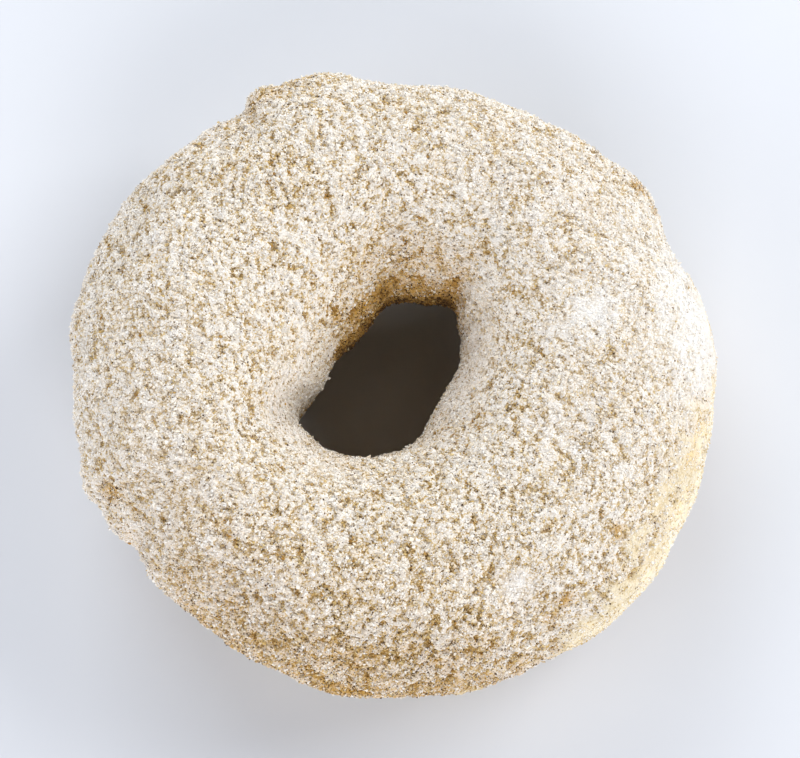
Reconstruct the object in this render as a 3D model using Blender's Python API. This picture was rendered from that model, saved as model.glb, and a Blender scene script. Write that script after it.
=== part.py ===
"""A crumb-coated ring doughnut: one closed solid of fried dough with its thick coat.

A plain ring is made first. Its points are then pulled to the form of a yeast ring that
was cut, proved and fried: a leaning oval hole set a little off centre, a rim that swells
and dips, a crown that rose unevenly and an underside pressed flat where the ring stands.

+Z is up. The origin is on the standing surface, under the middle of the ring's box.
"""

import bpy
import numpy as np

MM = 0.001

# The ring as a whole
RIM_RADIUS = 46.3 * MM  # of the outline seen from above, between its lobes
CROWN_HEIGHT = 34.6 * MM  # from the standing surface to the top of the crown
WAIST_SHARE = 0.47  # height of the widest line, as a share of the crown's height
PRESSED_DEPTH = 1.4 * MM  # how much of the round underside is pressed flat

# The rim's lobes: compass bearing from +X in degrees, half width in degrees, height
RIM_LOBES = (
    (0, 18, 0.8 * MM),
    (35, 12, -0.9 * MM),
    (78, 20, -1.8 * MM),
    (151, 10, 0.6 * MM),
    (168, 26, 1.4 * MM),
    (184, 12, -0.9 * MM),
    (213, 8, -1.0 * MM),
    (234, 12, -1.2 * MM),
    (270, 24, 0.4 * MM),
    (320, 26, 1.8 * MM),
)

# Clumps of coat: bearing, turn round the section, their half widths in degrees, height
CLUMPS = (
    (108, 22, 8, 26, 1.6 * MM),
    (36, 20, 7, 24, 1.2 * MM),
    (202, 8, 5, 20, 1.2 * MM),
    (150, 95, 24, 40, 0.5 * MM),
    (258, 60, 14, 26, 0.5 * MM),
)

# The hole: a rounded oval pushed over to one side, off the middle of the rim
THROAT_CENTRE = (0.0 * MM, 0.6 * MM)
THROAT_HALF_LENGTH = 13.7 * MM
THROAT_HALF_WIDTH = 8.8 * MM
THROAT_LEAN = 75  # degrees between the oval's two pairs of sides
THROAT_TURN = -9  # degrees that the whole oval is turned
THROAT_SQUARENESS = 3.0  # 2 is a plain oval, more fills out its corners

# The hole's own lobes: bearing and half width in degrees, height (more is a wider hole)
THROAT_LOBES = (
    (36, 10, -1.8 * MM),
    (90, 9, 0.9 * MM),
    (205, 9, 2.2 * MM),
    (268, 16, -0.6 * MM),
)

# The section through the ring's body: 2 is an ellipse, more is squarer
SECTION_SQUARENESS_ACROSS = 2.25
SECTION_SQUARENESS_UP = 2.1

# The crown's uneven rise: bearing, half width in degrees, height
CROWN_SWELLS = (
    (140, 50, 0.7 * MM),
    (300, 40, -0.9 * MM),
    (30, 30, 0.4 * MM),
    (225, 30, -0.4 * MM),
)

# The coat's shallow lumps, as waves through space: length, bearing and rise in degrees
LUMP_HEIGHT = 0.17 * MM
THROAT_CALM = 0.8  # share of the lumps' height that is missing inside the hole
LUMP_WAVES = (
    (21 * MM, 15, 10),
    (17 * MM, 75, -25),
    (14 * MM, 140, 35),
    (12 * MM, 195, -50),
    (10 * MM, 255, 20),
    (9 * MM, 310, 60),
)

# Facets
RING_STEPS = 100
SECTION_STEPS = 46

COAT_COLOUR = (0.71, 0.62, 0.50, 1.0)
COAT_ROUGHNESS = 0.95


def hump(angle, bearing, half_width):
    """1 at the bearing, falling off round the circle as a bell whose half width is given."""
    away = (angle - np.radians(bearing) + np.pi) % (2 * np.pi) - np.pi
    return np.exp(-((away / np.radians(half_width)) ** 2))


def signed_power(value, exponent):
    """The power of the size of a value, with its sign kept."""
    return np.sign(value) * np.abs(value) ** exponent


def rim_points(angle):
    """Where the outline lies at each bearing: a circle with a hump for each lobe."""
    radius = RIM_RADIUS + sum(h * hump(angle, b, w) for b, w, h in RIM_LOBES)
    return np.stack([radius * np.cos(angle), radius * np.sin(angle)], axis=1)


def throat_points(angle):
    """Where the hole's narrowest line lies at each bearing.

    A leaning superellipse: the point's slanted coordinates, each over its half size and
    raised to the squareness, add up to one. A hump for each lobe is added to its radius.
    """
    lean = np.radians(THROAT_LEAN)
    turned = angle - np.radians(THROAT_TURN)
    along = np.sin(turned) / np.sin(lean) / THROAT_HALF_LENGTH
    across = (np.cos(turned) - np.sin(turned) / np.tan(lean)) / THROAT_HALF_WIDTH
    total = np.abs(along) ** THROAT_SQUARENESS + np.abs(across) ** THROAT_SQUARENESS
    radius = total ** (-1 / THROAT_SQUARENESS)
    radius = radius + sum(h * hump(angle, b, w) for b, w, h in THROAT_LOBES)
    x = THROAT_CENTRE[0] + radius * np.cos(angle)
    y = THROAT_CENTRE[1] + radius * np.sin(angle)
    return np.stack([x, y], axis=1)


def lumps(points):
    """Height of the coat's lumps: plane waves that cross in many directions, added up."""
    total = np.zeros(len(points))
    for length, bearing, rise in LUMP_WAVES:
        bearing, rise = np.radians(bearing), np.radians(rise)
        level = np.cos(rise)
        way = np.array([level * np.cos(bearing), level * np.sin(bearing), np.sin(rise)])
        total += np.sin(points @ way * 2 * np.pi / length)
    return LUMP_HEIGHT * total


def doughnut_points(angle, turn):
    """The ring's surface, from the bearing and the turn round its section.

    Turn 0 faces out, a quarter turn is the crown, a half turn faces into the hole. The
    section is a superellipse between the rim and the throat, and what would lie below
    the standing surface is pressed flat onto it.
    """
    rim = rim_points(angle)
    throat = throat_points(angle)
    crown = CROWN_HEIGHT + sum(h * hump(angle, b, w) for b, w, h in CROWN_SWELLS)
    waist = WAIST_SHARE * crown
    across = signed_power(np.cos(turn), 2 / SECTION_SQUARENESS_ACROSS)
    rise = signed_power(np.sin(turn), 2 / SECTION_SQUARENESS_UP)
    height = waist + np.where(rise > 0, rise * (crown - waist), rise * (waist + PRESSED_DEPTH))
    level = (rim + throat) / 2 + (rim - throat) / 2 * across[:, None]
    smooth = np.column_stack([level, height])
    outward = (rim - throat) / np.linalg.norm(rim - throat, axis=1)[:, None]
    out_of_body = np.column_stack([outward * np.cos(turn)[:, None], np.sin(turn)])
    clumps = sum(h * hump(angle, b, w) * hump(turn, t, v) for b, t, w, v, h in CLUMPS)
    calm = 1 - THROAT_CALM * hump(turn, 180, 70)
    lumpy = smooth + out_of_body * (lumps(smooth) * calm + clumps)[:, None]
    lumpy[:, 2] = np.maximum(lumpy[:, 2], 0)
    return lumpy


def centred(points):
    """The same points moved sideways until the middle of their box is over the origin."""
    middle = (points.min(axis=0) + points.max(axis=0)) / 2
    middle[2] = 0
    return points - middle


def coat_material():
    """The pale, dry crumb coat."""
    material = bpy.data.materials.new("crumb_coat")
    material.use_nodes = True
    shader = material.node_tree.nodes["Principled BSDF"]
    shader.inputs["Base Color"].default_value = COAT_COLOUR
    shader.inputs["Roughness"].default_value = COAT_ROUGHNESS
    shader.inputs["Metallic"].default_value = 0.0
    return material


def make_doughnut():
    """A plain ring whose points are pulled to the doughnut's form."""
    ring_radius = 2.0
    body_radius = 1.0
    bpy.ops.mesh.primitive_torus_add(
        major_segments=RING_STEPS,
        minor_segments=SECTION_STEPS,
        major_radius=ring_radius,
        minor_radius=body_radius,
    )
    ring = bpy.context.object
    ring.name = "doughnut"
    ring.data.name = "doughnut"
    points = np.empty(len(ring.data.vertices) * 3)
    ring.data.vertices.foreach_get("co", points)
    points = points.reshape(-1, 3)
    angle = np.arctan2(points[:, 1], points[:, 0])
    turn = np.arctan2(points[:, 2], np.hypot(points[:, 0], points[:, 1]) - ring_radius)
    formed = centred(doughnut_points(angle, turn))
    ring.data.vertices.foreach_set("co", formed.ravel())
    ring.data.update()
    ring.data.shade_smooth()
    ring.data.materials.append(coat_material())
    return ring


def remove_everything():
    """Clears the objects that a new Blender file starts with."""
    for thing in list(bpy.data.objects):
        bpy.data.objects.remove(thing)


remove_everything()
doughnut = make_doughnut()
print("doughnut", [round(side * 1000, 2) for side in doughnut.dimensions], "mm")
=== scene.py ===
# %% [markdown]
# # A ring doughnut in a crumb coat
#
# The object is one raised ring doughnut: soft fried dough with a thick, dry, pale coat of
# sugar and fine golden crumbs. The coat could be one bumpy skin with a noise texture, or a
# heap of loose grains alone. Neither is enough: a bumpy skin has a smooth outline, and
# grains alone need millions of faces before the dough is hidden. So three layers are made,
# as in the kitchen: a bare ring of dough, a clumped coat in real relief, and loose grains
# that lie half sunk in it.

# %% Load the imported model
import math

import bpy
import numpy as np
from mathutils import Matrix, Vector


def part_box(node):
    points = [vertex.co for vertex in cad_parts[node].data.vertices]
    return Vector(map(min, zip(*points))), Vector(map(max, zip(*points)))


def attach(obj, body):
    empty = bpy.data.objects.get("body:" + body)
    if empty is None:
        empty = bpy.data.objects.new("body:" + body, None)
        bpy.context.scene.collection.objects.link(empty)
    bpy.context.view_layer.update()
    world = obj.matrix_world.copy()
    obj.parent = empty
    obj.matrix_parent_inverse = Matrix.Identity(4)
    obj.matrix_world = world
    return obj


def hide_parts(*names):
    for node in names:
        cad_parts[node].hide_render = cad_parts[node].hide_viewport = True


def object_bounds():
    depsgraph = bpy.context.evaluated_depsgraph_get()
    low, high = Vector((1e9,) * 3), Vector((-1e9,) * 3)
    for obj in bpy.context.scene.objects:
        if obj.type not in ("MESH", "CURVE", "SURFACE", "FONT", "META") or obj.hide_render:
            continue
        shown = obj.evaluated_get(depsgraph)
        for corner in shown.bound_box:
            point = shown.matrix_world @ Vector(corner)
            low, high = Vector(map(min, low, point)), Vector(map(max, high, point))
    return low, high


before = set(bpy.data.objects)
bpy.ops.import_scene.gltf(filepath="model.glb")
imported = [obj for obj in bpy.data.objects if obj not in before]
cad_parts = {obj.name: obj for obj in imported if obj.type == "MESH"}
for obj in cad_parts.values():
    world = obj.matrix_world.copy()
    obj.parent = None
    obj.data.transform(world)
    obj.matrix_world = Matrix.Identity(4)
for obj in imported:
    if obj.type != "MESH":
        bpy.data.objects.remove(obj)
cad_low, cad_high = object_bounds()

MM = 0.001
print("model box in mm:", [round(side / MM, 2) for side in cad_high - cad_low])

# %% [markdown]
# ## The ring's form
#
# A raised ring isn't a plain torus. The rim swells and dips where the dough rested, the
# hole is a leaning oval, the crown rose unevenly, and the underside is pressed flat. All of
# that is one formula with two inputs: the bearing round the ring, and the turn round its
# section. Sculpting would give the same look, but a formula can be asked for the surface
# at any fineness, and every layer below asks for it again.

# %% Measures of the rim and the crown
RIM_RADIUS = 46.3 * MM  # of the outline from above, between its lobes
CROWN_HEIGHT = 34.6 * MM  # from the foot to the top
WAIST_SHARE = 0.47  # height of the widest line, as a share of the crown's height
PRESSED_DEPTH = 1.4 * MM  # how much of the round underside is pressed flat

# Lobes of the rim: bearing and half width in degrees, height
RIM_LOBES = (
    (0, 18, 0.8 * MM),
    (35, 12, -0.9 * MM),
    (78, 20, -1.8 * MM),
    (151, 10, 0.6 * MM),
    (168, 26, 1.4 * MM),
    (184, 12, -0.9 * MM),
    (213, 8, -1.0 * MM),
    (234, 12, -1.2 * MM),
    (270, 24, 0.4 * MM),
    (320, 26, 1.8 * MM),
)

# Uneven rise of the crown: bearing and half width in degrees, height
CROWN_SWELLS = (
    (140, 50, 0.7 * MM),
    (300, 40, -0.9 * MM),
    (30, 30, 0.4 * MM),
    (225, 30, -0.4 * MM),
)

# Thick clumps of coat: bearing, turn, their half widths in degrees, height
CLUMPS = (
    (108, 22, 8, 26, 1.6 * MM),
    (36, 20, 7, 24, 1.2 * MM),
    (202, 8, 5, 20, 1.2 * MM),
    (150, 95, 24, 40, 0.5 * MM),
    (258, 60, 14, 26, 0.5 * MM),
)
print("rim:", len(RIM_LOBES), "lobes, crown:", len(CROWN_SWELLS), "swells,", len(CLUMPS), "clumps")

# %% Measures of the hole and the section
THROAT_CENTRE = (0.0 * MM, 0.6 * MM)
THROAT_HALF_LENGTH = 13.7 * MM
THROAT_HALF_WIDTH = 8.8 * MM
THROAT_LEAN = 75  # degrees between the oval's two pairs of sides
THROAT_TURN = -9  # degrees that the whole oval is turned
THROAT_SQUARENESS = 3.0  # 2 is a plain oval, more fills out its corners

# Lobes of the hole: bearing and half width in degrees, height (more is a wider hole)
THROAT_LOBES = (
    (36, 10, -1.8 * MM),
    (90, 9, 0.9 * MM),
    (205, 9, 2.2 * MM),
    (268, 16, -0.6 * MM),
)

# The section: 2 is an ellipse, more is squarer
SECTION_SQUARENESS_ACROSS = 2.25
SECTION_SQUARENESS_UP = 2.1
hole_sides = 2 * np.array([THROAT_HALF_LENGTH, THROAT_HALF_WIDTH]) / MM
print("hole in mm:", np.round(hole_sides, 1))

# %% Measures of the lumps
LUMP_HEIGHT = 0.17 * MM
THROAT_CALM = 0.8  # share of the lumps' height that is missing inside the hole
CALM_TURNS = (180, 70)  # turn at the middle of the hole's wall, and the calm's half width
# Waves through space: length, bearing and rise in degrees
LUMP_WAVES = (
    (21 * MM, 15, 10),
    (17 * MM, 75, -25),
    (14 * MM, 140, 35),
    (12 * MM, 195, -50),
    (10 * MM, 255, 20),
    (9 * MM, 310, 60),
)
print("lumps: up to", round(LUMP_HEIGHT * len(LUMP_WAVES) / MM, 2), "mm high")

# %% [markdown]
# The formula goes in small steps: a bell that stands for any local swelling, the outline of
# the rim, the outline of the hole, and a squarish oval section that joins the two.

# %% The rim and the hole
def hump(angle, bearing, half_width):
    """Bell round the circle: e to the power of minus (distance / half width) squared."""
    away = (angle - np.radians(bearing) + np.pi) % (2 * np.pi) - np.pi
    return np.exp(-((away / np.radians(half_width)) ** 2))


def signed_power(value, exponent):
    """The size of the value raised to the exponent, with the value's sign put back."""
    return np.sign(value) * np.abs(value) ** exponent


def rim_level(angle):
    """The outline from above: a circle's radius plus a bell for each lobe, as x and y."""
    radius = RIM_RADIUS + sum(h * hump(angle, b, w) for b, w, h in RIM_LOBES)
    return np.stack([radius * np.cos(angle), radius * np.sin(angle)], axis=-1)


def throat_level(angle):
    """The hole's narrowest line: a superellipse in slanted axes, whose two coordinates,
    each over its half size and raised to the squareness, add up to one, with a bell
    for each lobe added to the radius."""
    lean = np.radians(THROAT_LEAN)
    turned = angle - np.radians(THROAT_TURN)
    along = np.sin(turned) / np.sin(lean) / THROAT_HALF_LENGTH
    across = (np.cos(turned) - np.sin(turned) / np.tan(lean)) / THROAT_HALF_WIDTH
    total = np.abs(along) ** THROAT_SQUARENESS + np.abs(across) ** THROAT_SQUARENESS
    radius = total ** (-1 / THROAT_SQUARENESS)
    radius = radius + sum(h * hump(angle, b, w) for b, w, h in THROAT_LOBES)
    level = np.stack([radius * np.cos(angle), radius * np.sin(angle)], axis=-1)
    return level + np.array(THROAT_CENTRE)


compass = np.radians(np.arange(0, 360, 5))
for line in (rim_level, throat_level):
    radii = np.linalg.norm(line(compass), axis=-1) / MM
    print(line.__name__, "in mm from the middle:", np.round([radii.min(), radii.max()], 1))


# %% The ring's whole surface
def lump_height(points):
    """Sum of sines of the distance along each wave's direction, over its length."""
    total = np.zeros(points.shape[:-1])
    for length, bearing, rise in LUMP_WAVES:
        bearing, rise = np.radians(bearing), np.radians(rise)
        flat = np.cos(rise)
        way = np.array([flat * np.cos(bearing), flat * np.sin(bearing), np.sin(rise)])
        total += np.sin(points @ way * 2 * np.pi / length)
    return LUMP_HEIGHT * total


def ring_form(angle, turn):
    """The ring's surface. Turn 0 faces out, a quarter turn is the crown, a half turn faces
    into the hole. Across the section the point goes from rim to throat with a power of the
    cosine, up it goes from the pressed foot to the crown with a power of the sine, and
    lumps and clumps push it outwards. What would lie below the foot is pressed onto it."""
    rim = rim_level(angle)
    throat = throat_level(angle)
    crown = CROWN_HEIGHT + sum(h * hump(angle, b, w) for b, w, h in CROWN_SWELLS)
    waist = WAIST_SHARE * crown
    across = signed_power(np.cos(turn), 2 / SECTION_SQUARENESS_ACROSS)[..., None]
    rise = signed_power(np.sin(turn), 2 / SECTION_SQUARENESS_UP)
    height = waist + np.where(rise > 0, rise * (crown - waist), rise * (waist + PRESSED_DEPTH))
    level = (rim + throat) / 2 + (rim - throat) / 2 * across
    smooth = np.concatenate([level, height[..., None]], axis=-1)
    outward = (rim - throat) / np.linalg.norm(rim - throat, axis=-1, keepdims=True)
    flat_push = outward * np.cos(turn)[..., None]
    push = np.concatenate([flat_push, np.sin(turn)[..., None]], axis=-1)
    clumps = sum(h * hump(angle, b, w) * hump(turn, t, v) for b, t, w, v, h in CLUMPS)
    calm = 1 - THROAT_CALM * hump(turn, *CALM_TURNS)
    formed = smooth + push * (lump_height(smooth) * calm + clumps)[..., None]
    formed[..., 2] = np.maximum(formed[..., 2], 0)
    return formed


crown_heights = ring_form(compass, np.full_like(compass, np.pi / 2))[:, 2] / MM
print("crown in mm:", np.round([crown_heights.min(), crown_heights.max()], 1))

# %% [markdown]
# The solid in the model was moved sideways until its box was centred, so the same move is
# found here from the solid's own box rather than typed in as a number.

# %% Put the form where the solid is
SOLID_STEPS = (100, 46)  # facets of the solid round the ring and round its section


def full_turn(steps):
    """Evenly spaced angles round a circle, without the one that closes it."""
    return np.arange(steps) * 2 * np.pi / steps


def turns_and_bearings(steps):
    """The turn and the bearing at each point of a grid, from its steps round the ring and
    its steps round the section."""
    return np.meshgrid(full_turn(steps[1]), full_turn(steps[0]), indexing="ij")


turns, angles = turns_and_bearings(SOLID_STEPS)
coarse = ring_form(angles, turns).reshape(-1, 3)
solid_low, solid_high = (np.array(corner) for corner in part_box("doughnut"))
FORM_SHIFT = (solid_low + solid_high) / 2 - (coarse.min(axis=0) + coarse.max(axis=0)) / 2
FORM_SHIFT[2] = 0  # the foot stays where it is


def ring_surface(angle, turn):
    """The form moved to where the solid lies."""
    return ring_form(angle, turn) + FORM_SHIFT


print("form moved by mm:", np.round(FORM_SHIFT / MM, 3))
box_difference = np.ptp(coarse, axis=0) - (solid_high - solid_low)
print("box difference in mm:", np.round(box_difference / MM, 3))

# %% [markdown]
# ## Two kinds of randomness
#
# Crumbs stick together in clumps with creases between them, and powder settles in soft
# patches. A soft field, with random numbers at the corners of a lattice blended between
# them, gives the patches. A field of distances to scattered seeds gives the clumps: it is
# low at each seed and has a sharp crease halfway between two. Both are worked out through
# space and not over the surface, so nothing stretches or shows a seam.

# %% Soft fields
LATTICE = 64  # cells before a field repeats


def soft_field(points, size, seed):
    """Random numbers at lattice corners, blended by 3t^2 - 2t^3 along each axis; -1 to 1."""
    lattice = np.random.default_rng(seed).uniform(-1, 1, (LATTICE, LATTICE, LATTICE))
    spot = points / size
    corner = np.floor(spot).astype(int)
    part = spot - corner
    part = part * part * (3 - 2 * part)
    total = np.zeros(points.shape[:-1])
    for step in np.ndindex(2, 2, 2):
        share = np.prod(np.where(np.array(step) == 1, part, 1 - part), axis=-1)
        x, y, z = np.moveaxis((corner + np.array(step)) % LATTICE, -1, 0)
        total += share * lattice[x, y, z]
    return total


def layered_field(points, layers):
    """Sum of soft fields, each with its size, its share and its seed."""
    return sum(share * soft_field(points, size, seed) for size, share, seed in layers)


# %% Fields of clumps
def dome_field(points, size, seed):
    """One seed in each lattice cell: 1 minus the squared distance to the nearest seed, in
    cells, so that each seed has a round dome and creases run between the domes."""
    seeds = np.random.default_rng(seed).uniform(0, 1, (LATTICE, LATTICE, LATTICE, 3))
    spot = points / size
    corner = np.floor(spot).astype(int)
    nearest = np.full(points.shape[:-1], np.inf)
    for step in np.ndindex(3, 3, 3):
        cell = corner + np.array(step) - 1
        x, y, z = np.moveaxis(cell % LATTICE, -1, 0)
        away = cell + seeds[x, y, z] - spot
        nearest = np.minimum(nearest, np.einsum("...i,...i->...", away, away))
    return 1 - nearest


def ease(value, low, high):
    """0 at low, 1 at high, 3t^2 - 2t^3 between them, and level beyond. With low above high
    the step goes down instead of up."""
    part = np.clip((value - low) / (high - low), 0, 1)
    return part * part * (3 - 2 * part)


samples = ring_surface(angles, turns)
for field in (soft_field, dome_field):
    spread = np.percentile(field(samples, MM, 1), [2, 98])
    print(field.__name__, "mostly lies between", np.round(spread, 2))


# %% [markdown]
# ## Where the coat lies
#
# The doughnut was pressed into the crumbs from above, so they cover the crown and most of
# the flanks, thin out below the widest line and fade inside the hole. Along one side the
# coat stops high up, and a pale band of bare dough shows there with only dust on it. The
# cover is a number for each point, 1 under full coat and 0 on bare dough, with its border
# shifted by a soft field so that it frays into islands.

# %% Cover of the coat
OUTER_EDGE = -34  # turn in degrees at which the coat ends on the outer flank
# Sides where the coat ends higher: bearing, half width, how many degrees of turn higher
BARE_SIDES = (
    (331, 36, 68),
    (8, 14, 46),
    (258, 44, 16),
)
INNER_EDGE = 208  # turn at which the coat ends inside the hole
EDGE_WIDTH = 7  # degrees over which the coat thins out
EDGE_FRAY = 7  # degrees that the border wanders
BARE_EXTRA_WIDTH = 0.33  # how much wider the thinning gets for each degree the edge rises
BARE_EXTRA_FRAY = 0.02  # and how much more its border wanders, as a share
FRAY_LAYERS = ((3.1 * MM, 1.0, 11), (1.2 * MM, 0.6, 12))  # size, share, seed


def section_degrees(turn):
    """The turn in degrees, from -90 under the ring, over the crown at 90, to 270."""
    degrees = np.degrees((turn + np.pi) % (2 * np.pi) - np.pi)
    return np.where(degrees < -90, degrees + 360, degrees)


def plateau(angle, bearing, half_width):
    """Bell with a flat top: e to the minus fourth power of distance over half width."""
    away = (np.degrees(angle) - bearing + 180) % 360 - 180
    return np.exp(-((away / half_width) ** 4))


def bare_rise(angle):
    """The largest of the bare sides' rises, each times its plateau."""
    return np.max([rise * plateau(angle, b, w) for b, w, rise in BARE_SIDES], axis=0)


def coat_cover(angle, turn, points):
    """Product of two eased steps in the turn, one at the outer edge and one at the inner,
    each moved by a soft field, and the outer one also by the rise of the bare sides."""
    rise = bare_rise(angle)
    fray = layered_field(points, FRAY_LAYERS)
    fray = EDGE_FRAY * fray * (1 + BARE_EXTRA_FRAY * rise)
    degrees = section_degrees(turn)
    outer = OUTER_EDGE + rise
    width = EDGE_WIDTH + BARE_EXTRA_WIDTH * rise
    from_outside = ease(degrees + fray, outer - width, outer + width)
    from_hole = ease(degrees + fray, INNER_EDGE + EDGE_WIDTH, INNER_EDGE - EDGE_WIDTH)
    return from_outside * from_hole


covered_share = coat_cover(angles, turns, samples).mean()
print("share of the section's grid under the coat:", round(float(covered_share), 2))


# %% [markdown]
# ## Golden crumbs, fine powder, painted light and shade
#
# A coat like this isn't the same all over. Golden crumbs stuck to the back wall of the
# hole and along the bare band. Low on the near flank the golden colour is partly crumbs and
# partly painted shade, on the side turned away from the light, and towards the bottom of
# the hole it goes on to a dark brown that is painted shade. Fine powder filled the coat on
# the hole's other walls, where it is greyed as painted half shade, lies thinly over two
# sides of the crown, whitest on the right flank partly as painted light, and fell in small
# white patches on top. Painting a mask by hand would tie the finish to one mesh, so both
# are formulas in the bearing and the turn, which the relief, the grains and the colours
# all read.

# %% Toasted places and painted shade
PLACE_BREAKUP = 0.45  # how much a soft field breaks the places up
TOASTED_AND_SHADE_BREAKUP = (2.2 * MM, 13)  # size and seed of that field
# Above 1 the crust goes to a dark brown that is painted shade deep in the hole. The rows at
# bearings 250 to 262 are painted shade too, on the near, lower flank turned from the light.
TOASTED_AND_SHADE_LIMIT = 2  # above 1 the crumbs are dark
# bearing, half width, turn where it begins, turn where it is full, strength
TOASTED_AND_SHADED_PLACES = (
    (98, 54, 150, 164, 1.0),
    (84, 46, 166, 181, 2.0),
    (138, 28, 164, 178, 1.8),
    (20, 150, 190, 198, 2.0),
    (262, 39, 42, 4, 0.85),
    (257, 40, 84, 34, 0.5),
    (250, 45, 114, 60, 0.24),
    (298, 16, 26, 2, 0.5),
    (88, 36, 118, 150, 0.36),
)
# Small spots of darker crumbs: bearing, half width, turn, half width, strength
TOASTED_SPOTS = (
    (54, 9, 168, 16, 1.3),
    (116, 9, 30, 14, 0.4),
    (36.5, 1.7, 26, 6, 0.7),
    (31.5, 1.4, 20, 5, 0.6),
    (205.5, 2.5, 30, 10, 0.9),
    (305, 1.8, 44, 4, 0.85),
    (301, 2.0, 37, 4, 0.7),
    (321, 1.6, 52, 5, 0.8),
    (140, 7, 156, 9, 0.8),
)
TOASTED_FRINGE = 26  # degrees of turn above the bare band that are toasted too
FRINGE_STRENGTH = 0.2


def place_bell(angle, turn, bearing, half_width, middle, half_turn):
    """A bell in the bearing times a bell in the turn."""
    return hump(angle, bearing, half_width) * hump(turn, middle, half_turn)


def toasted_and_shaded(angle, turn, points):
    """The largest of three: the places, each a plateau in the bearing times an eased step in
    the turn; the spots' bells; and the fringe along the coat's outer edge. Then times one
    plus a soft field, and kept between 0 and 2. Real toasting and painted shade share this
    number: painted shade on the near flank, and above 1 deep in the hole."""
    degrees = section_degrees(turn)
    share = np.zeros_like(degrees)
    for bearing, half_width, begins, full, strength in TOASTED_AND_SHADED_PLACES:
        place = strength * plateau(angle, bearing, half_width) * ease(degrees, begins, full)
        share = np.maximum(share, place)
    for *place, strength in TOASTED_SPOTS:
        share = np.maximum(share, strength * place_bell(angle, turn, *place))
    edge = OUTER_EDGE + bare_rise(angle)
    fringe = ease(degrees, edge + TOASTED_FRINGE, edge)
    share = np.maximum(share, FRINGE_STRENGTH * fringe)
    broken = share * (1 + PLACE_BREAKUP * soft_field(points, *TOASTED_AND_SHADE_BREAKUP))
    return np.clip(broken, 0, TOASTED_AND_SHADE_LIMIT)


most_toasted_and_shaded = toasted_and_shaded(angles, turns, samples).max()
print("strongest toasting:", round(float(most_toasted_and_shaded), 2))

# %% Powdered places, with painted shade and light
POWDER_BREAKUP = (1.8 * MM, 14)  # size and seed of the soft field that breaks them up
# On the hole's walls, at bearings 345 and 214, a lower tone greys the powder as painted half
# shade; on the right flank, at bearing 6, a higher tone whitens it, partly painted light from the
# right.
# bearing, half width, turn, half width, strength, change of tone
POWDER_LIGHT_AND_SHADE_PLACES = (
    (345, 60, 157, 25, 0.9, -0.14),
    (214, 40, 154, 30, 0.95, -0.08),
    (10.5, 7, 88, 9, 0.95, 0.55),
    (7, 7, 101, 12, 0.6, 0.22),
    (296.5, 5, 62, 9, 0.9, 0.4),
    (6, 21, 27, 36, 1.1, 0.4),
    (20, 60, 62, 44, 0.42, 0.12),
    (217, 8, 14, 20, 0.5, 0.12),
    (203, 46, 62, 46, 0.3, 0.07),
)


def powdered(angle, turn, points):
    """The largest of the places' bells, times one plus a soft field; and the change of tone,
    the sum of each place's own change times its bell."""
    share = np.zeros_like(angle)
    tone = np.zeros_like(angle)
    for *place, strength, change in POWDER_LIGHT_AND_SHADE_PLACES:
        bell = strength * place_bell(angle, turn, *place)
        share = np.maximum(share, bell)
        tone = tone + change * bell
    broken = share * (1 + PLACE_BREAKUP * soft_field(points, *POWDER_BREAKUP))
    return np.clip(broken, 0, 1), tone


powdered_share = (powdered(angles, turns, samples)[0] > 0.5).mean()
print("share of the section's grid under powder:", round(float(powdered_share), 2))

# %% [markdown]
# The coat's thickness and the depth of its pits change from place to place too. A thick
# clump hangs over the rim here and there, the hole's back wall carries a heavy roll of
# crumbs, and the pits are deepest on the near flank.

# %% Thicker, thinner and deeper places
# Where the coat is thicker or thinner: bearing, half width, turn, half width, height
HEAPED_PLACES = (
    (94, 52, 178, 34, 1.45 * MM),
    (88, 7, 178, 34, 0.6 * MM),
    (132, 22, 194, 24, 0.7 * MM),
    (20, 7, 174, 34, 0.6 * MM),
    (23, 5, 10, 34, -0.6 * MM),
    (206, 13, 170, 44, -0.6 * MM),
    (272, 26, 170, 30, -0.25 * MM),
    (326, 26, 170, 30, 0.5 * MM),
    (51, 9, 10, 34, -0.45 * MM),
    (107, 4, 14, 30, -0.8 * MM),
    (115.3, 2.6, 18, 26, 1.2 * MM),
    (121, 3, 14, 30, -0.6 * MM),
    (138, 6, 12, 30, 0.6 * MM),
    (187, 8, 10, 30, 0.5 * MM),
    (204, 2.4, 14, 24, -0.3 * MM),
    (209.5, 2.6, 10, 20, 0.9 * MM),
    (215.5, 3, 10, 24, -0.6 * MM),
    (243, 6, 6, 30, 0.5 * MM),
    (273, 7, 6, 30, 0.4 * MM),
)
# Where the pits are deeper: bearing, half width, turn, half width, extra share
DEEPER_PLACES = (
    (260, 58, 32, 32, 1.0),
    (185, 40, 40, 34, 0.15),
)


def heaped(angle, turn):
    """Sum of the heights of the places, each times a plateau in the bearing and a bell in
    the turn."""
    return sum(h * plateau(angle, b, w) * hump(turn, t, v) for b, w, t, v, h in HEAPED_PLACES)


def deeper(angle, turn):
    """1 plus the sum of the places' shares, each times a bell in the bearing and the turn."""
    return 1 + sum(share * place_bell(angle, turn, *place) for *place, share in DEEPER_PLACES)


heap = heaped(angles, turns) / MM
print("coat thicker or thinner by mm:", np.round([heap.min(), heap.max()], 2))

# %% [markdown]
# ## Surfaces as grids
#
# Every big surface here is a grid of points that closes round the ring. A small helper
# turns such a grid into a mesh, closes it round the section too, and gives it a map of its
# own, so that colours can be baked onto it later.

# %% Normals of a grid
SHORTEST = 1e-12  # keeps a normal without a length from being divided by zero


def sheet_normals(points):
    """Cross product of the differences between neighbours along both ways of the grid;
    the columns close round the ring, the rows don't."""
    round_ring = np.roll(points, -1, axis=1) - np.roll(points, 1, axis=1)
    up_section = np.gradient(points, axis=0)
    normals = np.cross(round_ring, up_section)
    lengths = np.linalg.norm(normals, axis=-1, keepdims=True)
    return normals / np.maximum(lengths, SHORTEST)


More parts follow.
